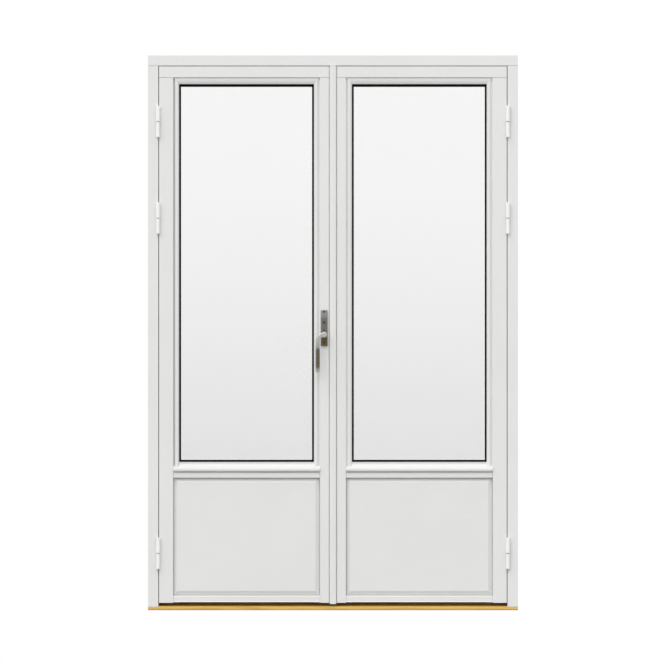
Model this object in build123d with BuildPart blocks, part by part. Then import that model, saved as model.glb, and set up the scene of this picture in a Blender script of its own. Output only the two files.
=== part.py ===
from build123d import *
import os

# A pair of outward-opening timber french doors in their frame.
# Millimetres. X runs across the doors, +Y points indoors and +Z up.
# The origin is the middle of the threshold's underside.

# Frame
frame_width = 1390
frame_height = 2085
frame_depth = 115
frame_land = 39
stop_width = 15
stop_gap = 3.5
arris = 1
joint_groove_width = 1
joint_groove_depth = 4

# Threshold
nose_height = 13
nose_top_round = 2.5
nose_bottom_round = 4
slope_top = 24.5
stop_top = 40

# Leaves
leaf_thickness = 62
side_gap = 2.5
meeting_gap = 4
leaf_bottom = 27.5
leading_bevel = 3
hinge_stile_land = 53.5
meeting_stile_land = 47
top_rail_land = 41.8
mid_rail_bottom = 497.4
mid_rail_land = 24.4
bottom_rail_land_top = 55.4
bottom_rail_underside = 30.2
rail_setback = 2

# Glazing
bead_width = 22.5
top_bead_width = 25
lip_thickness = 13.5
bottom_sight = 557
gasket_thickness = 3
pane_thickness = 4
cavity = 20
glass_clearance = 5
glass_floor_rise = 12.8
gasket_show = 7
gasket_top_show = 10.5
gasket_bottom_show = 8
gasket_cover = 12
spacer_width = 11

# Beads, as offsets from the outer edge and depths below the face of the stiles
quirk_depth = 9
bead_quirk_width = 5
bead_shoulder = (7, 6)
bead_crest = (12.5, 3.5)
top_bead_quirk_width = 1.5
top_bead_shoulder = (2, 5)
top_bead_crest = (4.5, 4)
bead_inner_depth = 11.5

# Glazing sill
sill_shoulder = 552.5
sill_projection = 10
sill_cove_drop = 18
sill_nose_round = 4
sill_quirk_height = 6
sill_quirk_depth = 5

# Panel
panel_edge_depth = 16.5
panel_field_depth = 7
panel_bevel = 17
panel_clearance = 1
panel_inside_rise = 6

# Seals
seal_groove_offset = 8
seal_groove_width = 3
seal_groove_depth = 6
seal_bulb_width = 7
seal_clearance = 0.3
threshold_seal_height = 33.5

# Hinges
hinge_heights = (213, 1473, 1836)
hinge_length = 118
knuckle_radius = 8
pin_knuckle_radius = 7.2
knuckle_bevel = 1.5
knuckle_gap = 3
knuckle_standoff = 9
hinge_offset = 1.5
hinge_pin_radius = 4
hinge_pin_rise = 46
sleeve_bore_depth = 44
hinge_plate = 2.5
hinge_plate_length = 52
hinge_plate_reach = 37.5
running_clearance = 0.1

# Jamb fixing holes
fixing_radius = 7
fixing_heights = (200, 760, 1320, 1880)
fixing_inset = 12.5

# Astragal
astragal_width = 24
astragal_rise = 6.5
astragal_bottom = 23
astragal_recess = 2.5
astragal_rebate_depth = 6
astragal_rebate_edge = 15.2

# Espagnolette and flush bolts, with their middle line at mid thickness of the leaf
faceplate_width = 16
faceplate_thickness = 2.5
faceplate_inset = 4
rod_width = 10
rod_thickness = 4.8
rod_gap = 0.7
bolt_throw = 20
rod_clearance = 1
rod_end_inset = 2
case_length = 150
case_thickness = 15
case_depth = 32
keep_length = 60
keep_width = 20
keep_thickness = 2
keep_pocket_height = 18
flush_bolt_length = 190
flush_rod_length = 180
knob_size = 16
knob_width = 5

# Handle set
spindle_x = -32.8
spindle_z = 1035
spindle_size = 8
plate_width = 25
plate_bottom = 993
plate_top = 1128
plate_thickness = 8
lever_reach = 48.5
lever_offset = 24.4
lever_drop = 143
grip_width = 16.5
grip_thickness = 12
grip_round = 3.5
boss_radius = 11
neck_radius = 7.5
lever_head_radius = 10.5
screw_heights = (1122, 1052, 1006.5)
screw_radius = 2.4
screw_head_radius = 4.5
plug_height = 1081
plug_radius = 5

# Working positions
front = -frame_depth / 2
back = frame_depth / 2
jamb_outer = frame_width / 2
leaf_back = front + leaf_thickness
stop_front = leaf_back + stop_gap
head_underside = frame_height - frame_land
stop_land = frame_land + stop_width
leaf_top = head_underside - side_gap
hinge_edge = -(jamb_outer - frame_land - side_gap)
meeting_edge = -meeting_gap / 2
hinge_land = hinge_edge + hinge_stile_land
meeting_land = meeting_edge - meeting_stile_land
sight_left = hinge_land + bead_width
sight_right = meeting_land - bead_width
glass_middle = (hinge_land + meeting_land) / 2
top_land = leaf_top - top_rail_land
top_sight = top_land - top_bead_width
mid_land_top = mid_rail_bottom + mid_rail_land
glass_floor = mid_land_top + glass_floor_rise
lip_front = leaf_back - lip_thickness
inner_pane_back = lip_front - gasket_thickness
outer_pane_front = inner_pane_back - 2 * pane_thickness - cavity
bead_back = outer_pane_front - gasket_thickness
leaf_middle = (front + leaf_back) / 2
hinge_x = -(jamb_outer - frame_land + hinge_offset)
hinge_y = front - knuckle_standoff
seal_x = -(jamb_outer - frame_land - seal_groove_offset)
seal_top = head_underside - seal_groove_offset
rod_outer = meeting_edge - faceplate_inset + 2 - faceplate_thickness - rod_gap
rod_x = rod_outer - rod_thickness / 2
faceplate_x = rod_outer + rod_gap + faceplate_thickness / 2
slope_rate = (slope_top - nose_height) / (stop_front - front)
keep_floor = nose_height + slope_rate * (leaf_middle - keep_width / 2 - front)
rebate_floor = front + astragal_rebate_depth

os.makedirs("parts", exist_ok=True)


def save(piece, name):
    """Label a finished piece and write it under its own name."""
    piece.part.label = name
    export_step(piece.part, f"parts/{name}.step")


def save_pair(piece, name):
    """Write the left-hand piece, and its mirror image for the right-hand side."""
    save(piece, f"left_{name}")
    with BuildPart() as twin:
        mirror(piece.part, about=Plane.YZ)
    save(twin, f"right_{name}")


def upright(y):
    """The upright plane at this depth, facing the outside."""
    return Plane.XZ.offset(-y)


def cut_seal_corners(low, high):
    """Carry the upright seal grooves of the jambs round the corner, between these heights."""
    for x in (-seal_x, seal_x):
        cut_block((x - seal_groove_width / 2, x + seal_groove_width / 2),
                  (stop_front, stop_front + seal_groove_depth), (low, high))


def cut_block(x_range, y_range, z_range):
    """Take a square-edged recess out of the piece being built."""
    size = [high - low for low, high in (x_range, y_range, z_range)]
    middle = [(low + high) / 2 for low, high in (x_range, y_range, z_range)]
    with Locations(tuple(middle)):
        Box(*size, mode=Mode.SUBTRACT)


def cut_joint_groove(x_range, z_range):
    """Sink the front face beside a joint, so that the joint shows as a fine shadow line."""
    cut_block(x_range, (front, front + joint_groove_depth), z_range)


# Frame


def frame_section():
    """Head and jamb section: across from the outer edge, and deep from outside to inside."""
    with BuildSketch() as section:
        with BuildLine():
            Polyline(
                (0, front), (frame_land, front), (frame_land, stop_front),
                (stop_land, stop_front), (stop_land, back), (0, back), close=True,
            )
        make_face()
        fillet(section.vertices().group_by(Axis.Y)[0], radius=arris)
        fillet(section.vertices().sort_by(Axis.X)[-2:], radius=arris)
        with Locations((frame_land + seal_groove_offset, stop_front + seal_groove_depth / 2)):
            Rectangle(seal_groove_width, seal_groove_depth, mode=Mode.SUBTRACT)
    return section.sketch


def threshold_outline():
    """Threshold section without its rounded edges: a weathered slope up to the inner stop."""
    with BuildLine() as outline:
        Polyline(
            (front, 0), (front, nose_height), (stop_front, slope_top),
            (stop_front, stop_top), (back, stop_top), (back, 0), close=True,
        )
    return outline.line


with BuildPart() as threshold:
    with BuildSketch(Plane.YZ.offset(-jamb_outer)) as outline:
        make_face(threshold_outline())
        fillet(outline.vertices().group_by(Axis.X)[0].sort_by(Axis.Y)[-1], radius=nose_top_round)
        fillet(outline.vertices().group_by(Axis.X)[0].sort_by(Axis.Y)[0], radius=nose_bottom_round)
        fillet(outline.vertices().group_by(Axis.Y)[-1], radius=arris)
        groove_middle = (stop_front + seal_groove_depth / 2, threshold_seal_height)
        with Locations(groove_middle):
            Rectangle(seal_groove_depth, seal_groove_width, mode=Mode.SUBTRACT)
    extrude(amount=frame_width)
    for x in (-rod_x, rod_x):
        cut_block(
            (x - rod_thickness / 2 - rod_clearance, x + rod_thickness / 2 + rod_clearance),
            (leaf_middle - rod_width / 2 - 1, leaf_middle + rod_width / 2 + 1),
            (rod_thickness, slope_top),
        )
    cut_block(
        (-keep_length / 2, keep_length / 2),
        (leaf_middle - keep_width / 2, leaf_middle + keep_width / 2),
        (keep_floor - keep_thickness, slope_top),
    )
    cut_seal_corners(threshold_seal_height, stop_top)
save(threshold, "threshold")

with BuildPart() as jamb:
    with BuildSketch(Plane.XY) as section:
        with Locations((-jamb_outer, 0)):
            add(frame_section())
    extrude(amount=head_underside)
    cut_joint_groove((-jamb_outer, -jamb_outer + frame_land),
                     (head_underside - joint_groove_width, head_underside))
    cut_block((-jamb_outer, -jamb_outer + stop_land), (stop_front, back),
              (frame_height - stop_land, head_underside))
    with BuildSketch(Plane.YZ.offset(-jamb_outer)):
        make_face(threshold_outline())
    extrude(amount=stop_land, mode=Mode.SUBTRACT)
    for height in hinge_heights:
        cut_block((hinge_edge - side_gap - hinge_plate, hinge_edge - side_gap),
                  (front, front + hinge_plate_reach),
                  (height - hinge_length / 2 + 3, height - hinge_length / 2 + 3 + hinge_plate_length))
    for height in fixing_heights:
        with Locations(Location((-jamb_outer, stop_front - fixing_inset, height), (0, 90, 0))):
            Cylinder(fixing_radius, 2 * frame_land, mode=Mode.SUBTRACT)
save(jamb, "left_jamb")
with BuildPart() as right_jamb:
    mirror(jamb.part, about=Plane.YZ)
save(right_jamb, "right_jamb")

with BuildPart() as head:
    head_plane = Plane(origin=(-jamb_outer, 0, frame_height), x_dir=(0, 0, -1), z_dir=(1, 0, 0))
    with BuildSketch(head_plane):
        add(frame_section())
    extrude(amount=frame_width)
    for x in (-rod_x, rod_x):
        cut_block(
            (x - rod_thickness / 2 - rod_clearance, x + rod_thickness / 2 + rod_clearance),
            (leaf_middle - rod_width / 2 - 1, leaf_middle + rod_width / 2 + 1),
            (head_underside, head_underside + keep_thickness + keep_pocket_height),
        )
    cut_block(
        (-keep_length / 2, keep_length / 2),
        (leaf_middle - keep_width / 2, leaf_middle + keep_width / 2),
        (head_underside, head_underside + keep_thickness),
    )
    cut_seal_corners(frame_height - stop_land, seal_top)
save(head, "head")


def bolt_keep(bottom):
    """A flat keep plate with one slot for each leaf's bolt."""
    with BuildPart() as keep:
        with BuildSketch(Plane.XY.offset(bottom)):
            with Locations((0, leaf_middle)):
                Rectangle(keep_length, keep_width)
            with Locations((-rod_x, leaf_middle), (rod_x, leaf_middle)):
                Rectangle(rod_thickness + 1.4, rod_width + 1.4, mode=Mode.SUBTRACT)
        extrude(amount=keep_thickness)
    return keep


save(bolt_keep(head_underside), "head_keep")
save(bolt_keep(keep_floor - keep_thickness), "threshold_keep")

with BuildPart() as frame_seal:
    seal_height = seal_top - threshold_seal_height
    seal_middle = (seal_top + threshold_seal_height) / 2
    bulb_depth = stop_gap - seal_clearance
    stem_gap = 0.4
    for start, depth, width in (
        (stop_front, bulb_depth, seal_bulb_width),
        (stop_front + seal_groove_depth - stem_gap, seal_groove_depth - stem_gap,
         seal_groove_width - stem_gap),
    ):
        with BuildSketch(upright(start)):
            with Locations((0, seal_middle)):
                Rectangle(-2 * seal_x + width, seal_height + width)
                Rectangle(-2 * seal_x - width, seal_height - width, mode=Mode.SUBTRACT)
        extrude(amount=depth)
    fillet(frame_seal.faces().sort_by(Axis.Y)[0].edges(), radius=bulb_depth / 2)
save(frame_seal, "frame_seal")

# Leaves: every piece is drawn for the left leaf, and mirrored for the right one where they match


def stile_section(edge, land, sight, bevel):
    """Stile section: full thickness to the land, then a thin lip behind the glass."""
    with BuildSketch() as section:
        with BuildLine():
            Polyline(
                (edge, front), (land, front), (land, lip_front), (sight, lip_front),
                (sight, leaf_back), (edge - bevel, leaf_back), close=True,
            )
        make_face()
        fillet(section.vertices().group_by(Axis.Y)[0], radius=arris)
        fillet(section.vertices().group_by(Axis.Y)[-1], radius=arris)
    return section.sketch


def trim_for_lips():
    """Notch both ends of a rail where the lips of the stiles run through."""
    for ends in ((hinge_land, sight_left), (sight_right, meeting_land)):
        cut_block(ends, (lip_front, leaf_back), (leaf_bottom, top_land))


def cut_end_grooves(low, high):
    """Shadow lines at both ends of a rail, between these heights."""
    cut_joint_groove((hinge_land, hinge_land + joint_groove_width), (low, high))
    cut_joint_groove((meeting_land - joint_groove_width, meeting_land), (low, high))


def cut_astragal_rebate(low, high):
    """Sink the front face at the meeting edge, where the astragal lies."""
    cut_block((-astragal_rebate_edge, 0), (front, rebate_floor), (low, high))


def cut_lock_grooves(low, high):
    """Groove the meeting edge for a faceplate and for the flat rod behind it."""
    cut_block((rod_outer + rod_gap, 0),
              (leaf_middle - faceplate_width / 2, leaf_middle + faceplate_width / 2), (low, high))
    cut_block((rod_outer - rod_thickness - rod_clearance, rod_outer + rod_gap),
              (leaf_middle - rod_width / 2 - 1, leaf_middle + rod_width / 2 + 1), (low, high))


with BuildPart() as hinge_stile:
    with BuildSketch(Plane.XY.offset(leaf_bottom)):
        add(stile_section(hinge_edge, hinge_land, sight_left, 0))
    extrude(amount=top_land - leaf_bottom)
    cut_joint_groove((hinge_edge, hinge_land), (top_land - joint_groove_width, top_land))
    for height in hinge_heights:
        top = height + hinge_length / 2 - 3
        cut_block((hinge_edge, hinge_edge + hinge_plate), (front, front + hinge_plate_reach),
                  (top - hinge_plate_length, top))
save_pair(hinge_stile, "hinge_stile")


def meeting_stile_blank():
    """The stile at the meeting edge, with its splayed leading edge, before any lock is let in."""
    with BuildPart() as stile:
        with BuildSketch(Plane.XY.offset(leaf_bottom)):
            add(stile_section(meeting_edge, meeting_land, sight_right, leading_bevel))
        extrude(amount=top_land - leaf_bottom)
        cut_joint_groove((meeting_land, meeting_edge), (top_land - joint_groove_width, top_land))
        cut_astragal_rebate(leaf_bottom, top_land)
    return stile.part


case_top = spindle_z + 77
case_bottom = case_top - case_length
case_front = leaf_middle - case_thickness / 2
case_back = leaf_middle + case_thickness / 2
case_inner = rod_outer - rod_thickness - rod_clearance

with BuildPart() as active_stile:
    add(meeting_stile_blank())
    cut_lock_grooves(leaf_bottom, top_land)
    cut_block((case_inner - case_depth - 0.5, case_inner), (case_front - 0.5, case_back + 0.5),
              (case_bottom - 0.5, case_top + 0.5))
    with BuildSketch(upright(leaf_back)):
        with Locations((spindle_x, spindle_z)):
            Circle(neck_radius + 2)
        with Locations(*[(spindle_x, height) for height in screw_heights]):
            Circle(screw_radius + 0.4)
    extrude(amount=leaf_thickness, mode=Mode.SUBTRACT)
    with BuildSketch(upright(leaf_middle)):
        with Locations((spindle_x, plug_height)):
            Circle(plug_radius + 0.5)
    extrude(amount=leaf_thickness / 2, mode=Mode.SUBTRACT)
save(active_stile, "left_meeting_stile")

with BuildPart() as passive_stile:
    add(meeting_stile_blank())
    cut_lock_grooves(leaf_top - flush_bolt_length, top_land)
    cut_lock_grooves(leaf_bottom, leaf_bottom + flush_bolt_length)
with BuildPart() as right_meeting_stile:
    mirror(passive_stile.part, about=Plane.YZ)
save(right_meeting_stile, "right_meeting_stile")

with BuildPart() as top_rail:
    with BuildSketch(Plane.YZ.offset(hinge_edge)) as section:
        with Locations((leaf_middle, (top_land + leaf_top) / 2)):
            Rectangle(leaf_thickness, top_rail_land)
        fillet(section.vertices().group_by(Axis.X)[0], radius=arris)
    extrude(amount=meeting_edge - hinge_edge)
    with BuildSketch(Plane.YZ.offset(sight_left)):
        with Locations(((lip_front + leaf_back) / 2, (top_sight + top_land) / 2)):
            Rectangle(lip_thickness, top_bead_width)
    extrude(amount=sight_right - sight_left)
    with BuildSketch(Plane.XY.offset(top_land)):
        with BuildLine():
            Polyline((meeting_edge, front), (meeting_edge, leaf_back),
                     (meeting_edge - leading_bevel, leaf_back), close=True)
        make_face()
    extrude(amount=top_rail_land, mode=Mode.SUBTRACT)
    cut_astragal_rebate(top_land, leaf_top)
    cut_lock_grooves(top_land, leaf_top)
save_pair(top_rail, "top_rail")

with BuildPart() as mid_rail:
    with BuildSketch(Plane.YZ.offset(hinge_land)) as section:
        with BuildLine():
            Polyline(
                (front, mid_rail_bottom), (front, mid_land_top - sill_quirk_height),
                (front + sill_quirk_depth, mid_land_top - sill_quirk_height),
                (front + sill_quirk_depth, mid_land_top), (bead_back, mid_land_top),
                (bead_back, glass_floor), (lip_front, glass_floor), (lip_front, bottom_sight),
                (leaf_back, bottom_sight), (leaf_back, mid_rail_bottom - bead_width),
                (lip_front, mid_rail_bottom - bead_width), (lip_front, mid_rail_bottom), close=True,
            )
        make_face()
        fillet(section.vertices().group_by(Axis.X)[0].sort_by(Axis.Y)[0], radius=arris)
        fillet(section.vertices().group_by(Axis.X)[-1], radius=arris)
    extrude(amount=meeting_land - hinge_land)
    cut_end_grooves(mid_rail_bottom, mid_land_top)
    trim_for_lips()
save_pair(mid_rail, "mid_rail")

with BuildPart() as bottom_rail:
    rail_front = front + rail_setback
    drip_height = 1.2
    drip_slope = 2.9
    groove = 4
    with BuildSketch(Plane.YZ.offset(hinge_land)) as section:
        with BuildLine():
            Polyline(
                (front, bottom_rail_underside), (front, bottom_rail_underside + drip_height),
                (rail_front, bottom_rail_underside + drip_height + drip_slope),
                (rail_front, bottom_rail_land_top - 4), (rail_front + 4, bottom_rail_land_top),
                (lip_front, bottom_rail_land_top), (lip_front, bottom_rail_land_top + bead_width),
                (leaf_back, bottom_rail_land_top + bead_width), (leaf_back, bottom_rail_underside),
                close=True,
            )
        make_face()
        fillet(section.vertices().group_by(Axis.X)[-1].sort_by(Axis.Y)[-1], radius=arris)
        with Locations((front + 2.5 * groove, bottom_rail_underside)):
            Circle(groove / 2, mode=Mode.SUBTRACT)
    extrude(amount=meeting_land - hinge_land)
    cut_end_grooves(bottom_rail_underside, bottom_rail_land_top)
    trim_for_lips()
save_pair(bottom_rail, "bottom_rail")


def raised_field(base, face, base_size, face_size, middle):
    """The bevelled rise of a fielded panel, from its base plane to its flat field."""
    outlines = []
    for y, size in ((base, base_size), (face, face_size)):
        with BuildSketch(upright(y)) as outline:
            with Locations(middle):
                Rectangle(*size)
        outlines.append(outline.sketch.face())
    loft(outlines)


with BuildPart() as panel:
    panel_width = meeting_land - hinge_land - 2 * panel_clearance
    panel_height = mid_rail_bottom - bottom_rail_land_top - 2 * panel_clearance
    panel_middle = (glass_middle, (mid_rail_bottom + bottom_rail_land_top) / 2)
    panel_front = front + panel_edge_depth
    with BuildSketch(upright(lip_front)):
        with Locations(panel_middle):
            Rectangle(panel_width, panel_height)
    extrude(amount=lip_front - panel_front)
    field_shrink = 2 * (panel_bevel - panel_clearance)
    raised_field(panel_front, front + panel_field_depth, (panel_width, panel_height),
                 (panel_width - field_shrink, panel_height - field_shrink), panel_middle)
    inside_width = sight_right - sight_left - 2 * panel_clearance
    inside_height = panel_height - 2 * bead_width
    raised_field(lip_front, lip_front + panel_inside_rise, (inside_width, inside_height),
                 (inside_width - field_shrink, inside_height - field_shrink), panel_middle)
save_pair(panel, "panel")

# Glazing

glass_left = hinge_land + glass_clearance
glass_right = meeting_land - glass_clearance
glass_bottom = glass_floor + glass_clearance
glass_top = top_land - glass_clearance
glass_size = (glass_right - glass_left, glass_top - glass_bottom)
glass_centre = (glass_middle, (glass_top + glass_bottom) / 2)
sight_size = (sight_right - sight_left, top_sight - bottom_sight)
sight_centre = (glass_middle, (top_sight + bottom_sight) / 2)

for name, y in (("inner_pane", inner_pane_back), ("outer_pane", outer_pane_front + pane_thickness)):
    with BuildPart() as pane:
        with BuildSketch(upright(y)):
            with Locations(glass_centre):
                Rectangle(*glass_size)
        extrude(amount=pane_thickness)
    save_pair(pane, name)

with BuildPart() as spacer:
    with BuildSketch(upright(inner_pane_back - pane_thickness)):
        with Locations(glass_centre):
            Rectangle(*glass_size)
            Rectangle(*[length - 2 * spacer_width for length in glass_size], mode=Mode.SUBTRACT)
    extrude(amount=cavity)
save_pair(spacer, "glass_spacer")

with BuildPart() as setting_blocks:
    block_length = 80
    with BuildSketch(Plane.XY.offset(glass_floor)):
        for x in (glass_left + block_length, glass_right - block_length):
            with Locations((x, (outer_pane_front + inner_pane_back) / 2)):
                Rectangle(block_length, inner_pane_back - outer_pane_front)
    extrude(amount=glass_clearance)
save_pair(setting_blocks, "setting_blocks")

gasket_low = bottom_sight + gasket_bottom_show
gasket_high = top_sight - gasket_top_show
for name, y, outward in (("outer_gasket", outer_pane_front, 1), ("inner_gasket", inner_pane_back, -1)):
    with BuildPart() as gasket:
        with BuildSketch(upright(y)):
            with Locations(sight_centre):
                Rectangle(*[length + 2 * gasket_cover for length in sight_size])
            with Locations((glass_middle, (gasket_low + gasket_high) / 2)):
                Rectangle(sight_size[0] - 2 * gasket_show, gasket_high - gasket_low, mode=Mode.SUBTRACT)
        extrude(amount=outward * gasket_thickness)
    save_pair(gasket, name)


def bead_section(width, quirk_width, shoulder, crest):
    """Quirked ovolo bead: across from its outer edge, with a sunk quirk and then a round crest."""
    shoulder_point = (shoulder[0], front + shoulder[1])
    crest_point = (crest[0], front + crest[1])
    inner = (width, front + bead_inner_depth)
    with BuildSketch() as section:
        with BuildLine():
            Polyline((0, bead_back), (0, front + quirk_depth),
                     (quirk_width, front + quirk_depth), shoulder_point)
            TangentArc(crest_point, shoulder_point, tangent=(-1, 0))
            TangentArc(crest_point, inner, tangent=(1, 0))
            Polyline(inner, (width, bead_back), (0, bead_back))
        make_face()
    return section.sketch


with BuildPart() as glazing_sill:
    nose = front - sill_projection
    cove_end = (nose + sill_nose_round, sill_shoulder - sill_cove_drop)
    nose_top = cove_end[1] - sill_nose_round
    shoulder = (front + bead_inner_depth, sill_shoulder)
    with BuildSketch(Plane.YZ.offset(hinge_land)) as section:
        with BuildLine():
            Line((bead_back, mid_land_top), (bead_back, sill_shoulder))
            Line((bead_back, sill_shoulder), shoulder)
            TangentArc(shoulder, cove_end, tangent=(0, -1))
            TangentArc(cove_end, (nose, nose_top), tangent=(-1, 0))
            Polyline((nose, nose_top), (nose, mid_land_top + 3), (nose + 3, mid_land_top),
                     (bead_back, mid_land_top))
        make_face()
    extrude(amount=meeting_land - hinge_land)
    with BuildSketch(Plane.YZ.offset(sight_left)):
        with Locations(((bead_back + shoulder[0]) / 2, (sill_shoulder + bottom_sight) / 2)):
            Rectangle(bead_back - shoulder[0], bottom_sight - sill_shoulder)
    extrude(amount=sight_right - sight_left)
save_pair(glazing_sill, "glazing_sill")

# The beads are mitred at the top, and the side beads are scribed over the cove of the sill

with BuildPart() as side_bead:
    bead_foot = sill_shoulder - sill_cove_drop
    with BuildSketch(Plane.XY.offset(bead_foot)):
        with Locations((hinge_land, 0)):
            add(bead_section(bead_width, bead_quirk_width, bead_shoulder, bead_crest))
    extrude(amount=top_land - bead_foot)
    mitre = Plane(origin=(hinge_land, 0, top_land), z_dir=(top_bead_width, 0, bead_width))
    split(bisect_by=mitre, keep=Keep.BOTTOM)
    add(glazing_sill.part, mode=Mode.SUBTRACT)
save_pair(side_bead, "hinge_side_bead")

with BuildPart() as other_side_bead:
    mirror(side_bead.part, about=Plane.YZ.offset(glass_middle))
save_pair(other_side_bead, "meeting_side_bead")

with BuildPart() as top_bead:
    bead_plane = Plane(origin=(hinge_land, 0, top_land), x_dir=(0, 0, -1), z_dir=(1, 0, 0))
    with BuildSketch(bead_plane):
        add(bead_section(top_bead_width, top_bead_quirk_width, top_bead_shoulder, top_bead_crest))
    extrude(amount=meeting_land - hinge_land)
    for x, lean in ((hinge_land, 1), (meeting_land, -1)):
        mitre = Plane(origin=(x, 0, top_land), z_dir=(lean * top_bead_width, 0, bead_width))
        split(bisect_by=mitre, keep=Keep.TOP)
save_pair(top_bead, "top_bead")

# Hinges: the pin half is let into the jamb, and the sleeve half into the leaf


def knuckle(bottom, top, radius):
    """One round knuckle, standing in front of the door."""
    with BuildSketch(Plane.XY.offset(bottom)) as outline:
        with Locations((hinge_x, hinge_y)):
            Circle(radius)
    extrude(outline.sketch, amount=top - bottom)


def hinge_flap(x_low, bottom):
    """The flat flap that runs from the knuckle back into its mortise."""
    flap_start = hinge_y + knuckle_radius / 2
    flap_end = front + hinge_plate_reach
    with BuildSketch(Plane.XY.offset(bottom)) as outline:
        with Locations((x_low + hinge_plate / 2, (flap_start + flap_end) / 2)):
            Rectangle(hinge_plate, flap_end - flap_start)
    extrude(outline.sketch, amount=hinge_plate_length)


def rims_at(piece, radius, offset):
    """The round rims of the knuckles at this height above the middle of each hinge."""
    rims = piece.edges().filter_by(GeomType.CIRCLE)
    return [rim for rim in rims if abs(rim.radius - radius) < 0.01
            and any(abs(rim.center().Z - height - offset) < 0.1 for height in hinge_heights)]


with BuildPart() as hinge_pins:
    for height in hinge_heights:
        low = height - hinge_length / 2
        knuckle(low, height - knuckle_gap / 2, pin_knuckle_radius)
        hinge_flap(hinge_edge - side_gap - hinge_plate, low + 3)
        with BuildSketch(Plane.XY.offset(height - knuckle_gap / 2)):
            with Locations((hinge_x, hinge_y)):
                Circle(hinge_pin_radius)
        extrude(amount=hinge_pin_rise)
    chamfer(rims_at(hinge_pins, pin_knuckle_radius, -hinge_length / 2), length=knuckle_bevel)
save_pair(hinge_pins, "hinge_pins")

with BuildPart() as hinge_sleeves:
    for height in hinge_heights:
        top = height + hinge_length / 2
        knuckle(height + knuckle_gap / 2, top, knuckle_radius)
        hinge_flap(hinge_edge, top - 3 - hinge_plate_length)
        with BuildSketch(Plane.XY.offset(height + knuckle_gap / 2)):
            with Locations((hinge_x, hinge_y)):
                Circle(hinge_pin_radius + running_clearance)
        extrude(amount=sleeve_bore_depth, mode=Mode.SUBTRACT)
    chamfer(rims_at(hinge_sleeves, knuckle_radius, hinge_length / 2), length=knuckle_bevel)
save_pair(hinge_sleeves, "hinge_sleeves")

# Astragal on the active leaf

with BuildPart() as astragal:
    half = astragal_width / 2
    with BuildSketch(Plane.XY.offset(astragal_bottom)) as section:
        with BuildLine():
            ThreePointArc((half, front - astragal_rise + 1.5), (0, front - astragal_rise),
                          (-half, front - astragal_rise + 1.5))
            Polyline((-half, front - astragal_rise + 1.5), (-half, rebate_floor),
                     (meeting_edge + 1, rebate_floor),
                     (meeting_edge + 1, rebate_floor - astragal_recess),
                     (half - 1.5, rebate_floor - astragal_recess), (half - 1.5, rebate_floor - 0.8),
                     (half, rebate_floor - 0.8), (half, front - astragal_rise + 1.5))
        make_face()
    extrude(amount=head_underside - 0.5 - astragal_bottom)
    fillet(astragal.edges().filter_by(Axis.Z).group_by(Axis.Y)[0], radius=1)
save(astragal, "astragal")

with BuildPart() as astragal_seal:
    with BuildSketch(Plane.XY.offset(astragal_bottom + 2)):
        with Locations((5, rebate_floor - (astragal_recess + seal_clearance) / 2)):
            Rectangle(7, astragal_recess - seal_clearance)
    extrude(amount=head_underside - astragal_bottom - 5)
save(astragal_seal, "astragal_seal")

# Espagnolette in the active leaf

with BuildPart() as faceplate:
    with BuildSketch(Plane.YZ.offset(faceplate_x - faceplate_thickness / 2)):
        with Locations((leaf_middle, (leaf_bottom + leaf_top) / 2)):
            Rectangle(faceplate_width - 0.4, leaf_top - leaf_bottom - 12)
    extrude(amount=faceplate_thickness)
save(faceplate, "lock_faceplate")

with BuildPart() as lock_case:
    with BuildSketch(upright(case_back)) as outline:
        with Locations((case_inner - case_depth / 2, (case_top + case_bottom) / 2)):
            Rectangle(case_depth, case_length)
        fillet(outline.vertices(), radius=3)
        with Locations((spindle_x, spindle_z)):
            Circle(spindle_size * 0.75, mode=Mode.SUBTRACT)
        with Locations(*[(spindle_x, height) for height in screw_heights[1:]]):
            Circle(screw_radius + 0.4, mode=Mode.SUBTRACT)
    extrude(amount=case_thickness)
save(lock_case, "lock_case")

for name, low, high in (("upper_lock_rod", spindle_z + 8, leaf_top - rod_end_inset),
                        ("lower_lock_rod", leaf_bottom + rod_end_inset / 2, spindle_z - 8)):
    with BuildPart() as rod:
        with BuildSketch(Plane.XY.offset(low)):
            with Locations((rod_x, leaf_middle)):
                Rectangle(rod_thickness, rod_width)
        extrude(amount=high - low)
        chamfer(rod.edges().filter_by(Axis.X), length=1.5)
    save(rod, name)

# Flush bolts in the passive leaf

for name, low, high, thumb_low, slot_low in (
    ("upper", leaf_top - flush_bolt_length + 2, leaf_top - 6, leaf_top - 150, leaf_top - 151),
    ("lower", leaf_bottom + 6, leaf_bottom + flush_bolt_length - 2, leaf_bottom + 134,
     leaf_bottom + 133 - bolt_throw),
):
    with BuildPart() as bolt_plate:
        with BuildSketch(Plane.YZ.offset(-faceplate_x - faceplate_thickness / 2)):
            with Locations((leaf_middle, (low + high) / 2)):
                Rectangle(faceplate_width - 0.4, high - low)
            with Locations((leaf_middle, slot_low + (knob_size + bolt_throw + 2) / 2)):
                Rectangle(knob_width + 1, knob_size + bolt_throw + 2, mode=Mode.SUBTRACT)
        extrude(amount=faceplate_thickness)
    save(bolt_plate, f"{name}_flush_bolt_plate")
    rod_low = leaf_top - rod_end_inset - flush_rod_length
    if name == "lower":
        rod_low = leaf_bottom + rod_end_inset / 2
    with BuildPart() as flush_bolt:
        with BuildSketch(Plane.XY.offset(rod_low)):
            with Locations((-rod_x, leaf_middle)):
                Rectangle(rod_thickness, rod_width)
        extrude(amount=flush_rod_length - 4)
        chamfer(flush_bolt.edges().filter_by(Axis.X), length=1.5)
        with BuildSketch(Plane.XY.offset(thumb_low)):
            with Locations((-rod_outer - 1, leaf_middle)):
                Rectangle(4, knob_width)
        extrude(amount=knob_size)
    save(flush_bolt, f"{name}_flush_bolt")

# Handle set, drawn outside and mirrored to the inside about the middle of the leaf


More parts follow.
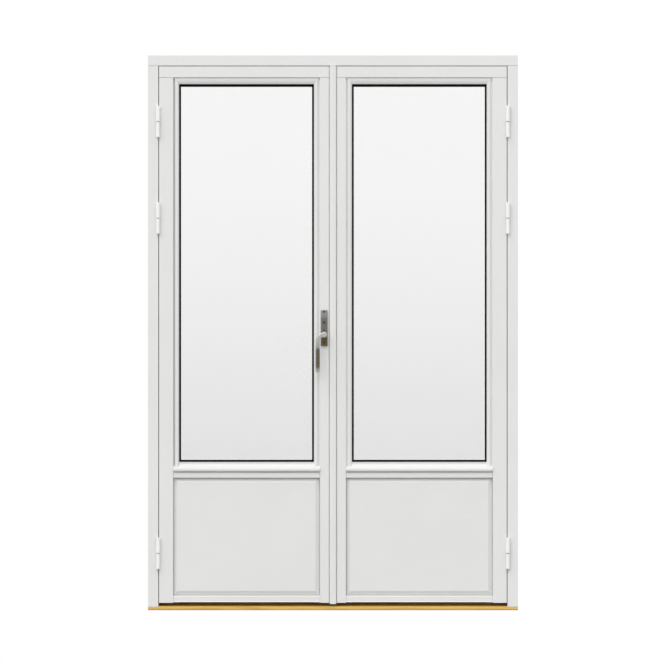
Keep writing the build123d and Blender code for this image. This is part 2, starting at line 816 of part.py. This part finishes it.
def handle_plate(countersunk):
    """A long narrow backplate bored for the lever and the screws, drawn on the outside face."""
    with BuildPart() as plate:
        with BuildSketch(upright(front)) as outline:
            with Locations((spindle_x, (plate_top + plate_bottom) / 2)):
                RectangleRounded(plate_width, plate_top - plate_bottom, 3)
            with Locations((spindle_x, spindle_z)):
                Circle(neck_radius + running_clearance, mode=Mode.SUBTRACT)
            with Locations(*[(spindle_x, height) for height in screw_heights]):
                Circle(screw_radius + running_clearance, mode=Mode.SUBTRACT)
            if countersunk:
                with Locations((spindle_x, plug_height)):
                    Circle(plug_radius + running_clearance, mode=Mode.SUBTRACT)
        extrude(amount=plate_thickness)
        if countersunk:
            for height in screw_heights:
                with Locations(Location((spindle_x, front - plate_thickness + 1.2, height), (90, 0, 0))):
                    Cone(screw_radius, screw_head_radius + 0.1, 2.4, mode=Mode.SUBTRACT)
        outer_rim = plate.faces().sort_by(Axis.Y)[0].outer_wire().edges()
        fillet(outer_rim, radius=1.5)
    return plate.part


with BuildPart() as outside_plate:
    add(handle_plate(countersunk=True))
save(outside_plate, "outside_handle_plate")

with BuildPart() as inside_plate:
    mirror(handle_plate(countersunk=False), about=Plane.XZ.offset(-leaf_middle))
save(inside_plate, "inside_handle_plate")

with BuildPart() as lever:
    bar_back = front - lever_reach + grip_thickness / 2
    with BuildSketch(upright(bar_back)) as outline:
        with BuildLine() as crank:
            bend = TangentArc((spindle_x, spindle_z), (spindle_x - lever_offset, spindle_z - lever_offset),
                              tangent=(-1, 0))
            Line(bend @ 1, bend @ 1 - (0, lever_drop - lever_offset - grip_width / 2))
            offset(amount=grip_width / 2)
        make_face()
        with Locations((spindle_x, spindle_z)):
            Circle(lever_head_radius)
        inner_corners = outline.vertices().filter_by(
            lambda corner: Vector(corner.X - spindle_x, corner.Y - spindle_z).length
            < lever_head_radius + 0.1)
        fillet(inner_corners, radius=grip_width / 2)
    extrude(amount=grip_thickness)
    fillet(lever.edges().filter_by(lambda edge: edge.bounding_box().size.Y < 0.01),
           radius=grip_round)
    with BuildSketch(upright(front)):
        with Locations((spindle_x, spindle_z)):
            Circle(neck_radius)
    extrude(amount=front - bar_back + grip_thickness / 4)
    with BuildSketch(upright(front - plate_thickness - 0.3)):
        with Locations((spindle_x, spindle_z)):
            Circle(boss_radius)
    extrude(amount=6)
    with BuildSketch(upright(front)):
        with Locations((spindle_x, spindle_z)):
            Rectangle(spindle_size + 0.2, spindle_size + 0.2)
    extrude(amount=lever_reach / 2, mode=Mode.SUBTRACT)
save(lever, "outside_lever")

with BuildPart() as inside_lever:
    mirror(lever.part, about=Plane.XZ.offset(-leaf_middle))
save(inside_lever, "inside_lever")

with BuildPart() as spindle:
    spindle_end = leaf_back + lever_reach / 2 - 1
    with BuildSketch(upright(spindle_end)):
        with Locations((spindle_x, spindle_z)):
            Rectangle(spindle_size, spindle_size)
    extrude(amount=2 * (spindle_end - leaf_middle))
save(spindle, "spindle")

with BuildPart() as key_plug:
    plug_face = front - plate_thickness
    with BuildSketch(upright(case_front - 1)):
        with Locations((spindle_x, plug_height)):
            Circle(plug_radius)
    extrude(amount=case_front - 1 - plug_face)
    with BuildSketch(upright(plug_face + 5)):
        with Locations((spindle_x, plug_height)):
            Rectangle(1.6, 6.5)
    extrude(amount=5, mode=Mode.SUBTRACT)
save(key_plug, "key_plug")

with BuildPart() as handle_screws:
    shank_end = leaf_back + plate_thickness - 2.5
    head_face = front - plate_thickness + 0.2
    for height in screw_heights:
        with BuildSketch(upright(shank_end)):
            with Locations((spindle_x, height)):
                Circle(screw_radius)
        extrude(amount=shank_end - head_face - 1)
        with Locations(Location((spindle_x, head_face + 1.1, height), (90, 0, 0))):
            Cone(screw_radius, screw_head_radius - 0.1, 2.2)
save(handle_screws, "handle_screws")
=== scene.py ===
import math

import bmesh
import bpy
from mathutils import Matrix, Vector


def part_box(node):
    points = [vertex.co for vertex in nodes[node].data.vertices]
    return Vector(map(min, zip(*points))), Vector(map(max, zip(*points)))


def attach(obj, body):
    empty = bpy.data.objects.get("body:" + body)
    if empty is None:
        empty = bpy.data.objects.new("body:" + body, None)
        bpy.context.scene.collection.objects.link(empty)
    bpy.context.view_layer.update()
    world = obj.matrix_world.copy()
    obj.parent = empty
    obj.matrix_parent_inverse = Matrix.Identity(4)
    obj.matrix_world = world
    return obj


# Looks for the pair of timber french doors. Metres, in the frame of the CAD.

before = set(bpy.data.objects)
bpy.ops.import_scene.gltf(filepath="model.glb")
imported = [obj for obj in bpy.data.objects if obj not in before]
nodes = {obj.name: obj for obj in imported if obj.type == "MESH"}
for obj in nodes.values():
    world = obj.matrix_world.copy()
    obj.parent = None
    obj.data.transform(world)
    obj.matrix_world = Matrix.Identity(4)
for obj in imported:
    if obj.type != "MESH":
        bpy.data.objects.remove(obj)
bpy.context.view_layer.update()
scene = bpy.context.scene


# Shader graphs


class Graph:
    """A material's node tree, built node by node."""

    def __init__(self, tree):
        self.tree = tree
        tree.nodes.clear()

    def add(self, kind, inputs=None, **settings):
        """A node of this kind. Each of its inputs is a value or another node's socket."""
        node = self.tree.nodes.new(kind)
        for name, value in settings.items():
            setattr(node, name, value)
        for name, value in (inputs or {}).items():
            if isinstance(value, bpy.types.NodeSocket):
                self.tree.links.new(value, node.inputs[name])
            else:
                node.inputs[name].default_value = value
        return node

    def place(self, scale, offset=(0, 0, 0)):
        """The piece's own coordinates, in units of 1 / scale along each axis."""
        own = self.add("ShaderNodeTexCoord").outputs["Object"]
        mapping = self.add("ShaderNodeMapping", {"Vector": own, "Scale": scale, "Location": offset})
        return mapping.outputs["Vector"]

    def noise(self, scale, size=1.0, detail=2.0, roughness=0.5, offset=(0, 0, 0), distortion=0.0):
        """Noise in the piece's own coordinates, stretched by the scale of each axis."""
        return self.add("ShaderNodeTexNoise", {
            "Vector": self.place(scale, offset), "Scale": size, "Detail": detail,
            "Roughness": roughness, "Distortion": distortion,
        }).outputs["Fac"]

    def span(self, value, low, high, start=0.0, end=1.0):
        """The value's range from start to end, carried over to low to high."""
        return self.add("ShaderNodeMapRange", {
            "Value": value, "From Min": start, "From Max": end, "To Min": low, "To Max": high,
        }).outputs["Result"]

    def maths(self, operation, first, second=0.0):
        """One sum on two numbers."""
        return self.add("ShaderNodeMath", {0: first, 1: second}, operation=operation).outputs[0]

    def blend(self, share, first, second, how="MIX"):
        """Two colours mixed by share."""
        node = self.add("ShaderNodeMix", data_type="RGBA", blend_type=how)
        sockets = node.inputs[0], node.inputs[6], node.inputs[7]
        for socket, value in zip(sockets, (share, first, second)):
            if isinstance(value, bpy.types.NodeSocket):
                self.tree.links.new(value, socket)
            else:
                socket.default_value = value if isinstance(value, float) else (*value, 1.0)
        return node.outputs[2]

    def along(self, axis):
        """How far along this axis of the piece's own coordinates a point lies, in metres."""
        own = self.add("ShaderNodeTexCoord").outputs["Object"]
        return self.add("ShaderNodeSeparateXYZ", {0: own}).outputs[axis]

    def steps(self, value, stops):
        """A colour for each value, in straight steps between the stops."""
        node = self.add("ShaderNodeValToRGB", {"Fac": value})
        marks = node.color_ramp.elements
        while len(marks) < len(stops):
            marks.new(1.0)
        for mark, (place, colour) in zip(marks, stops):
            mark.position = place
            mark.color = (*colour, 1.0)
        return node.outputs["Color"]

    def bump(self, height, depth, below=None):
        """A bump of this depth in metres, over another bump if there is one."""
        inputs = {"Height": height, "Distance": depth, "Strength": 1.0}
        if below is not None:
            inputs["Normal"] = below
        return self.add("ShaderNodeBump", inputs).outputs["Normal"]

    def surface(self, shader):
        """Ends the graph with this shader."""
        self.add("ShaderNodeOutputMaterial", {"Surface": shader})


def new_material(name):
    """An empty node material and its graph."""
    material = bpy.data.materials.new(name)
    material.use_nodes = True
    return material, Graph(material.node_tree)


def grain(along, across, length):
    """A noise scale that is fine across a piece and long along its axis."""
    return [length if axis == along else across for axis in "XYZ"]


def brushed_paint(name, along, quirk_painted_shade=0.0, ledge_painted_shade=0.0):
    """Opaque off-white paint on planed timber: fine brush marks along the piece, over faint grain.

    Painted shade darkens a bead's quirk, below the face of the door, and the sill just under the
    glass.
    """
    material, g = new_material(name)
    marks = g.noise(grain(along, 900, 18), detail=3)
    ridges = g.noise(grain(along, 160, 9), detail=2, offset=(3, 7, 1))
    peel = g.noise((420, 420, 420), detail=2)
    tone = g.noise((5, 5, 5), detail=4, roughness=0.6)
    wood = g.noise(grain(along, 420, 7), detail=4, roughness=0.65, offset=(11, 2, 5))
    shade = g.span(tone, -0.5, 0.5)
    shade = g.maths("ADD", shade, g.span(ridges, -0.35, 0.35))
    colour = g.blend(g.span(shade, 0, 1, -0.5, 0.5), (0.74, 0.74, 0.727), (0.782, 0.782, 0.773))
    # painted shade: the paint is darkened deep in the quirk and on the sill's upstand under the
    # glass
    for dust_and_painted_shade, axis, shade_start, shade_full in ((quirk_painted_shade, "Y", face_y + 0.0055, face_y + 0.009),
                                    (ledge_painted_shade, "Z", sill_top - 0.009, sill_top - 0.004)):
        if dust_and_painted_shade:
            painted_shade = g.maths("MULTIPLY", g.span(g.along(axis), 0, dust_and_painted_shade, shade_start, shade_full),
                              g.span(tone, 0.75, 1.25))
            colour = g.blend(painted_shade, colour, (0.33, 0.325, 0.305))
    normal = g.bump(wood, 0.00006)
    normal = g.bump(marks, 0.00005, normal)
    normal = g.bump(peel, 0.00005, normal)
    shader = g.add("ShaderNodeBsdfPrincipled", {
        "Base Color": colour,
        "Roughness": g.span(g.maths("ADD", marks, tone), 0.36, 0.56, 0.7, 1.3),
        "Specular IOR Level": 0.4,
        "Normal": normal,
    })
    g.surface(shader.outputs[0])
    return material


def oiled_oak():
    """Clear-oiled oak along X: growth rings, drawn-out streaks, open pores and faint rays."""
    material, g = new_material("oak")
    bend = g.noise((1.6, 9, 9), detail=2)
    base = g.place((0.9, 55, 80))
    shifted = g.add("ShaderNodeVectorMath", {0: base, 1: (0, 0, 0)}, operation="ADD")
    wobble = g.add("ShaderNodeCombineXYZ", {
        "Y": g.span(bend, -2.2, 2.2), "Z": g.span(bend, -1.6, 1.6),
    })
    g.tree.links.new(wobble.outputs[0], shifted.inputs[1])
    rings = g.add("ShaderNodeTexWave", {
        "Vector": shifted.outputs[0], "Scale": 0.55, "Distortion": 2.2, "Detail": 3.0,
        "Detail Scale": 1.3, "Detail Roughness": 0.6,
    }, wave_type="BANDS", bands_direction="DIAGONAL").outputs["Fac"]
    streaks = g.noise((14, 900, 900), detail=4, roughness=0.6)
    pores = g.noise((110, 2600, 2600), detail=2, roughness=0.6, offset=(5, 1, 9))
    rays = g.noise((60, 300, 1500), detail=1, offset=(2, 8, 4))
    cloud = g.noise((3, 14, 14), detail=2)
    colour = g.blend(rings, (0.80, 0.52, 0.122), (0.66, 0.39, 0.078))
    colour = g.blend(g.span(streaks, 0, 0.55, 0.35, 0.75), colour, (0.60, 0.34, 0.06))
    colour = g.blend(g.span(cloud, 0, 0.35, 0.4, 0.7), colour, (0.84, 0.57, 0.16))
    open_pores = g.span(pores, 0, 1, 0.62, 0.72)
    colour = g.blend(g.maths("MULTIPLY", open_pores, 0.75), colour, (0.25, 0.13, 0.03))
    colour = g.blend(g.span(rays, 0, 0.3, 0.66, 0.8), colour, (0.86, 0.65, 0.26))
    normal = g.bump(streaks, 0.00008)
    normal = g.bump(g.maths("MULTIPLY", open_pores, -1.0), 0.00015, normal)
    shader = g.add("ShaderNodeBsdfPrincipled", {
        "Base Color": colour,
        "Roughness": g.span(streaks, 0.42, 0.62),
        "Specular IOR Level": 0.4,
        "Normal": normal,
    })
    g.surface(shader.outputs[0])
    return material


def float_glass():
    """Clear float glass with a faint roller wave, and a painted reflection: its tint is lighter at
    the top and darker towards the bottom.
    """
    material, g = new_material("glass")
    wave = g.noise((2, 1, 5), detail=1)
    painted_reflection_wobble = g.noise((3, 3, 9), detail=3)
    height = g.maths("ADD", g.along("Z"), g.span(painted_reflection_wobble, -0.04, 0.04))
    # painted reflection: the glass's tint darkens from top to bottom, over its own pale tint
    tint_and_painted_reflection = g.steps(g.span(height, 0, 1, 0.56, 1.96), (
        (0.0, (0.888, 0.89, 0.889)),
        (0.49, (0.938, 0.94, 0.938)),
        (0.8, (0.955, 0.957, 0.955)),
    ))
    pane = g.add("ShaderNodeBsdfPrincipled", {
        "Base Color": tint_and_painted_reflection, "Roughness": 0.0, "IOR": 1.5,
        "Transmission Weight": 1.0, "Normal": g.bump(wave, 0.00002),
    })
    open_way = g.add("ShaderNodeBsdfTransparent", {"Color": (0.93, 0.94, 0.93, 1)})
    shadow = g.add("ShaderNodeLightPath").outputs["Is Shadow Ray"]
    mixed = g.add("ShaderNodeMixShader", {0: shadow, 1: pane.outputs[0], 2: open_way.outputs[0]})
    g.surface(mixed.outputs[0])
    return material


def soft_rubber(name, base, rough):
    """Black rubber or plastic, slightly dusty, with a moulded skin."""
    material, g = new_material(name)
    dust_and_painted_shade = g.noise((60, 60, 60), detail=4, roughness=0.65)
    skin = g.noise((1500, 1500, 1500), detail=2)
    dusted = (base * 2.2, base * 2.2, base * 2.1)
    colour = g.blend(g.span(dust_and_painted_shade, 0, 1, 0.35, 0.75), (base, base, base), dusted)
    shader = g.add("ShaderNodeBsdfPrincipled", {
        "Base Color": colour,
        "Roughness": g.span(dust_and_painted_shade, rough - 0.08, rough + 0.08),
        "Specular IOR Level": 0.04,
        "Normal": g.bump(skin, 0.00003),
    })
    g.surface(shader.outputs[0])
    return material


def powder_coat():
    """White powder coat with its orange peel, and bare steel where the knuckles part."""
    material, g = new_material("hinge_paint")
    peel = g.noise((650, 650, 650), detail=1)
    tone = g.noise((40, 40, 40), detail=3)
    colour = g.blend(tone, (0.87, 0.87, 0.862), (0.92, 0.92, 0.915))
    for split in hinge_heights:
        away = g.maths("ABSOLUTE", g.maths("SUBTRACT", g.along("Z"), split))
        bare = g.maths("LESS_THAN", away, bare_pin_reach)
        colour = g.blend(bare, colour, (0.19, 0.19, 0.185))
    shader = g.add("ShaderNodeBsdfPrincipled", {
        "Base Color": colour,
        "Roughness": g.span(tone, 0.26, 0.38),
        "Specular IOR Level": 0.5,
        "Normal": g.bump(peel, 0.00006),
    })
    g.surface(shader.outputs[0])
    return material


def satin_metal(name, zones, painted_brown_x, painted_brown_reach):
    """Satin nickel of the handle set: a painted brightness for each height, for its highlights and
    shade, and a painted brown cast for shadow and dark reflection.

    A zone is a height, the painted brightness there, and the share of painted brown. The brown
    keeps within the given reach of the upright line at the given x.
    """
    material, g = new_material(name)
    scratches = g.noise((2400, 2400, 60), detail=3)
    specks = g.noise((300, 300, 300), detail=2, roughness=0.6)
    height = g.along("Z")
    low, high = zones[0][0], zones[-1][0]
    rise = g.span(height, 0, 1, low, high)
    # painted highlights and shade: a brightness for each height
    bright = g.steps(rise, [((z - low) / (high - low), (tone,) * 3) for z, tone, _ in zones])
    painted_brown_share = g.steps(rise, [((z - low) / (high - low), (share,) * 3) for z, _, share in zones])
    aside = g.maths("ABSOLUTE", g.maths("SUBTRACT", g.along("X"), painted_brown_x))
    soft_edge = 0.0015
    near = g.span(aside, 1, 0, painted_brown_reach - soft_edge, painted_brown_reach + soft_edge)
    painted_brown_share = g.maths("MULTIPLY", painted_brown_share, near)
    # painted brown shadow and reflection, broken up by specks
    painted_brown_mask = g.span(g.maths("ADD", g.maths("MULTIPLY", painted_brown_share, 0.6), specks), 0, 1, 0.72, 0.86)
    grey = g.blend(g.span(scratches, 0, 1, 0.3, 0.7), (0.93, 0.92, 0.88), (1.0, 1.0, 0.97))
    colour = g.blend(1.0, bright, grey, "MULTIPLY")
    brown = g.blend(1.0, colour, (0.76, 0.60, 0.33), "MULTIPLY")
    colour = g.blend(painted_brown_mask, colour, brown)
    shader = g.add("ShaderNodeBsdfPrincipled", {
        "Base Color": colour,
        "Metallic": 0.55,
        "Roughness": g.span(g.maths("ADD", specks, scratches), 0.24, 0.44, 0.7, 1.3),
        "Normal": g.bump(scratches, 0.00002),
    })
    g.surface(shader.outputs[0])
    return material


def plated_steel(name, dark, light, along):
    """Zinc-plated or brass parts of the lock, with rolling marks along the piece."""
    material, g = new_material(name)
    lines = g.noise(grain(along, 1800, 30), detail=3)
    spangle = g.add("ShaderNodeTexVoronoi", {
        "Vector": g.place((260, 260, 260)), "Scale": 1.0,
    }).outputs["Distance"]
    colour = g.blend(g.span(lines, 0, 1, 0.3, 0.7), dark, light)
    colour = g.blend(g.span(spangle, 0, 0.18), colour, dark)
    shader = g.add("ShaderNodeBsdfPrincipled", {
        "Base Color": colour,
        "Metallic": 1.0,
        "Roughness": g.span(g.maths("ADD", lines, spangle), 0.26, 0.44, 0.3, 1.3),
        "Normal": g.bump(lines, 0.00002),
    })
    g.surface(shader.outputs[0])
    return material


face_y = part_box("left_hinge_stile")[0].y
leaf_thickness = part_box("left_hinge_stile")[1].y - face_y
spindle = sum(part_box("spindle"), Vector()) / 2
plate_low, plate_high = (corner.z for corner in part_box("outside_handle_plate"))

sill_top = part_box("left_glazing_sill")[1].z
hinge_heights = (0.213, 1.473, 1.836)
bare_pin_reach = 0.0014
paints = {
    "upright": brushed_paint("white_timber_upright", "Z"),
    "level": brushed_paint("white_timber_level", "X"),
    # painted shade in the bead's quirk and on the sill just under the glass
    "bead": brushed_paint("white_bead_painted_shade", "Z", quirk_painted_shade=0.6),
    "sill": brushed_paint("white_sill_painted_shade", "X", ledge_painted_shade=0.3),
}
plate_painted_brown_reach = 0.03
# painted light on the plate: lighter at its top for a highlight, brown below the spindle for the
# lever's shadow and reflection
plate_metal = satin_metal("satin_plate", (
    (plate_low, 0.24, 0.8), (spindle.z - 0.004, 0.23, 0.7), (spindle.z + 0.012, 0.2, 0.1),
    (plate_high - 0.034, 0.2, 0.1), (plate_high - 0.022, 0.34, 0.15), (plate_high, 0.34, 0.15),
), spindle.x, plate_painted_brown_reach)
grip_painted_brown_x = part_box("outside_lever")[0].x + 0.0094
grip_painted_brown_reach = 0.0040
# painted light on the lever: bright crank and grip end for highlights, a brown grip for dark
# reflection
lever_metal = satin_metal("satin_lever", (
    (spindle.z - 0.143, 0.62, 0.0), (spindle.z - 0.128, 0.36, 0.3), (spindle.z - 0.119, 0.20, 1.3),
    (spindle.z - 0.060, 0.22, 1.3), (spindle.z - 0.045, 0.46, 0.1), (spindle.z - 0.02, 0.58, 0.0),
), grip_painted_brown_x, grip_painted_brown_reach)
finishes = {
    "oak": oiled_oak(),
    "glass": float_glass(),
    "spacer": soft_rubber("spacer", 0.012, 0.6),
    "block_plastic": soft_rubber("block_plastic", 0.03, 0.5),
    "black_rubber": soft_rubber("black_rubber", 0.0025, 0.8),
    "hinge_paint": powder_coat(),
    "lock_steel": plated_steel("lock_steel", (0.46, 0.46, 0.44), (0.62, 0.62, 0.60), "Z"),
    "plug_brass": plated_steel("plug_brass", (0.10, 0.078, 0.034), (0.15, 0.118, 0.06), "X"),
}
level_pieces = ("head", "rail", "panel", "sill", "top_bead")
for name, node in nodes.items():
    for slot in node.material_slots:
        finish = slot.material.name
        if finish == "white_timber":
            lie = "level" if any(word in name for word in level_pieces) else "upright"
            # painted shade: only the left leaf's hinge-side bead gets the darkened quirk
            if name == "left_hinge_side_bead":
                lie = "bead"
            if "sill" in name:
                lie = "sill"
            slot.material = paints[lie]
        elif finish == "satin_handle":
            slot.material = lever_metal if "lever" in name else plate_metal
        else:
            slot.material = finishes[finish]


# Screws of the hinges, the lock and the handle


head_sides = 24


def cross_outline(half_length, half_width):
    """The outline of a cross recess, with one point for each side of the head."""
    corners = []
    for quarter in range(4):
        turn = Matrix.Rotation(quarter * math.pi / 2, 2)
        arm = (half_length, -half_width), (half_length, half_width), (half_width, half_width)
        corners += [turn @ Vector(corner) for corner in arm]
    outline = []
    for first, second in zip(corners, corners[1:] + corners[:1]):
        outline += [first, (first + second) / 2]
    return outline


def screw_heads(name, body, places, radius=0.0036, finish="lock_steel"):
    """Raised heads with a cross recess. A place is a point and the way the head faces."""
    rise = radius * 0.14
    shape = bmesh.new()
    for point, facing in places:
        turn = Vector(facing).to_track_quat("Z", "Y").to_matrix().to_4x4()
        seat = Matrix.Translation(point) @ turn
        cross = cross_outline(radius * 0.5, radius * 0.13)
        angles = [2 * math.pi * (k - 1) / head_sides for k in range(head_sides)]
        rings = [[(radius * math.cos(a), radius * math.sin(a), 0) for a in angles]]
        for share, height in ((0.97, 0.3), (0.82, 0.78)):
            rings.append([(x * share, y * share, rise * height) for x, y, _ in rings[0]])
        rings.append([(x, y, rise) for x, y in cross])
        rings.append([(x * 0.8, y * 0.8, rise * 0.1) for x, y in cross])
        loops = [[shape.verts.new(seat @ Vector(corner)) for corner in ring] for ring in rings]
        for lower, upper in zip(loops, loops[1:]):
            for k in range(head_sides):
                shape.faces.new((lower[k - 1], lower[k], upper[k], upper[k - 1]))
        shape.faces.new(loops[-1])
        shape.faces.new(reversed(loops[0]))
    mesh = bpy.data.meshes.new(name)
    shape.to_mesh(mesh)
    shape.free()
    mesh.materials.append(finishes[finish])
    heads = bpy.data.objects.new(name, mesh)
    scene.collection.objects.link(heads)
    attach(heads, body)


flap_middle = 0.030
flap_spots = ((0.0105, -0.016), (0.0275, -0.008), (0.0105, 0.016), (0.0275, 0.008))
side_gap = 0.0025
leaf_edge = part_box("left_hinge_stile")[0].x
jamb_land = leaf_edge - side_gap
for side, body, across in (("left", "active_leaf", 1), ("right", "passive_leaf", -1)):
    spots = [(face_y + depth, height, rise)
             for height in hinge_heights for depth, rise in flap_spots]
    screw_heads(f"{side}_jamb_hinge_screws", "frame", [
        ((across * jamb_land, y, height - flap_middle + rise), (across, 0, 0))
        for y, height, rise in spots])
    screw_heads(f"{side}_leaf_hinge_screws", body, [
        ((across * leaf_edge, y, height + flap_middle + rise), (-across, 0, 0))
        for y, height, rise in spots])

lock_y = face_y + leaf_thickness / 2
strip_low, strip_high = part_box("lock_faceplate")
strip_heights = (0.027, 0.35, 0.68, 0.92, 1.13, 1.43, 1.72, strip_high.z - strip_low.z - 0.027)
lock_screw_radius = 0.003
screw_heads("faceplate_screws", "active_leaf", [
    ((strip_high.x, lock_y, strip_low.z + rise), (1, 0, 0))
    for rise in strip_heights], lock_screw_radius)
bolt_screws = []
for node in ("upper_flush_bolt_plate", "lower_flush_bolt_plate"):
    low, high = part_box(node)
    bolt_screws += [((low.x, lock_y, z), (-1, 0, 0)) for z in (low.z + 0.01, high.z - 0.01)]
screw_heads("flush_bolt_screws", "passive_leaf", bolt_screws, lock_screw_radius)
keep_reach = 0.022
head_keep_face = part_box("head_keep")[0].z
threshold_keep_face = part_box("threshold_keep")[1].z
screw_heads("keep_screws", "frame", [
    ((x, lock_y, z), (0, 0, way)) for x in (-keep_reach, keep_reach)
    for z, way in ((head_keep_face, -1), (threshold_keep_face, 1))], lock_screw_radius)
screw_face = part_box("handle_screws")[0].y
handle_screw_heights = (1.122, 1.052, 1.0065)
handle_screw_radius = 0.0043
screw_heads("handle_screw_heads", "active_leaf", [
    ((spindle.x, screw_face, z), (0, -1, 0))
    for z in handle_screw_heights], handle_screw_radius, "plug_brass")


# Floor, light and camera


def studio_floor():
    """A pale floor under the door, which fades into the background."""
    mesh = bpy.data.meshes.new("floor")
    shape = bmesh.new()
    bmesh.ops.create_circle(shape, cap_ends=True, segments=96, radius=9)
    shape.to_mesh(mesh)
    shape.free()
    floor = bpy.data.objects.new("floor", mesh)
    scene.collection.objects.link(floor)
    material, g = new_material("floor")
    fine = g.noise((6, 6, 6), detail=4)
    grey = g.blend(fine, (0.44, 0.44, 0.44), (0.46, 0.46, 0.46))
    plain = g.add("ShaderNodeBsdfDiffuse", {"Color": grey})
    glow = g.add("ShaderNodeEmission", {"Color": (1, 1, 1, 1), "Strength": 0.48})
    path = g.add("ShaderNodeLightPath")
    seen = g.maths("MAXIMUM", path.outputs["Is Camera Ray"], path.outputs["Is Transmission Ray"])
    dark = g.add("ShaderNodeEmission", {"Strength": 0.0})
    lit = g.add("ShaderNodeMixShader", {0: seen, 1: dark.outputs[0], 2: glow.outputs[0]})
    both = g.add("ShaderNodeAddShader", {0: plain.outputs[0], 1: lit.outputs[0]})
    g.surface(both.outputs[0])
    mesh.materials.append(material)


def glow_card():
    """A light card in front of the doors, bright at its top. Only reflections show it."""
    mesh = bpy.data.meshes.new("light_card")
    corners = [(-2.4, -4, -0.2), (2.4, -4, -0.2), (2.4, -4, 3.0), (-2.4, -4, 3.0)]
    mesh.from_pydata(corners, [], [(0, 1, 2, 3)])
    card = bpy.data.objects.new("light_card", mesh)
    scene.collection.objects.link(card)
    material, g = new_material("light_card")
    shine = g.add("ShaderNodeEmission", {"Strength": g.span(g.along("Z"), 0.0, 1.0, 0.56, 1.98)})
    g.surface(shine.outputs[0])
    mesh.materials.append(material)
    card.visible_camera = False
    card.visible_diffuse = False
    card.visible_transmission = False
    card.visible_shadow = False
    card.visible_volume_scatter = False


def studio_light():
    """Light from all round that grows upwards, and a wide soft key from above and a little left."""
    sky_level, sky_rise = 0.6, 0.4
    world = bpy.data.worlds.new("studio")
    scene.world = world
    world.use_nodes = True
    g = Graph(world.node_tree)
    direction = g.add("ShaderNodeTexCoord").outputs["Generated"]
    up = g.add("ShaderNodeSeparateXYZ", {0: direction}).outputs["Z"]
    level = g.span(up, sky_level, sky_level + sky_rise)
    even = g.add("ShaderNodeBackground", {"Color": (1, 1, 1, 1), "Strength": level})
    white = g.add("ShaderNodeBackground", {"Color": (1, 1, 1, 1), "Strength": 1.0})
    path = g.add("ShaderNodeLightPath")
    seen = g.maths("MAXIMUM", path.outputs["Is Camera Ray"], path.outputs["Is Glossy Ray"])
    seen = g.maths("MAXIMUM", seen, path.outputs["Is Transmission Ray"])
    mixed = g.add("ShaderNodeMixShader", {0: seen, 1: even.outputs[0], 2: white.outputs[0]})
    g.add("ShaderNodeOutputWorld", {"Surface": mixed.outputs[0]})
    key = bpy.data.lights.new("key", "SUN")
    key.energy = 1.57
    key.angle = math.radians(66)
    lamp = bpy.data.objects.new("key", key)
    lamp.rotation_euler = Vector((0.35, 1.0, -1.0)).to_track_quat("-Z", "Y").to_euler()
    scene.collection.objects.link(lamp)


photo_pixels = 665
metres_per_pixel = 0.003758
middle_column, foot_row = 332.93, 610.14

studio_floor()
glow_card()
studio_light()
camera_data = bpy.data.cameras.new("camera")
camera_data.type = "ORTHO"
camera_data.ortho_scale = photo_pixels * metres_per_pixel
camera = bpy.data.objects.new("camera", camera_data)
camera_distance = 6
camera.location = ((photo_pixels / 2 - middle_column) * metres_per_pixel, -camera_distance,
                   (foot_row - photo_pixels / 2) * metres_per_pixel)
camera.rotation_euler = (math.radians(90), 0, 0)
scene.collection.objects.link(camera)
scene.camera = camera
scene.view_settings.view_transform = "Standard"
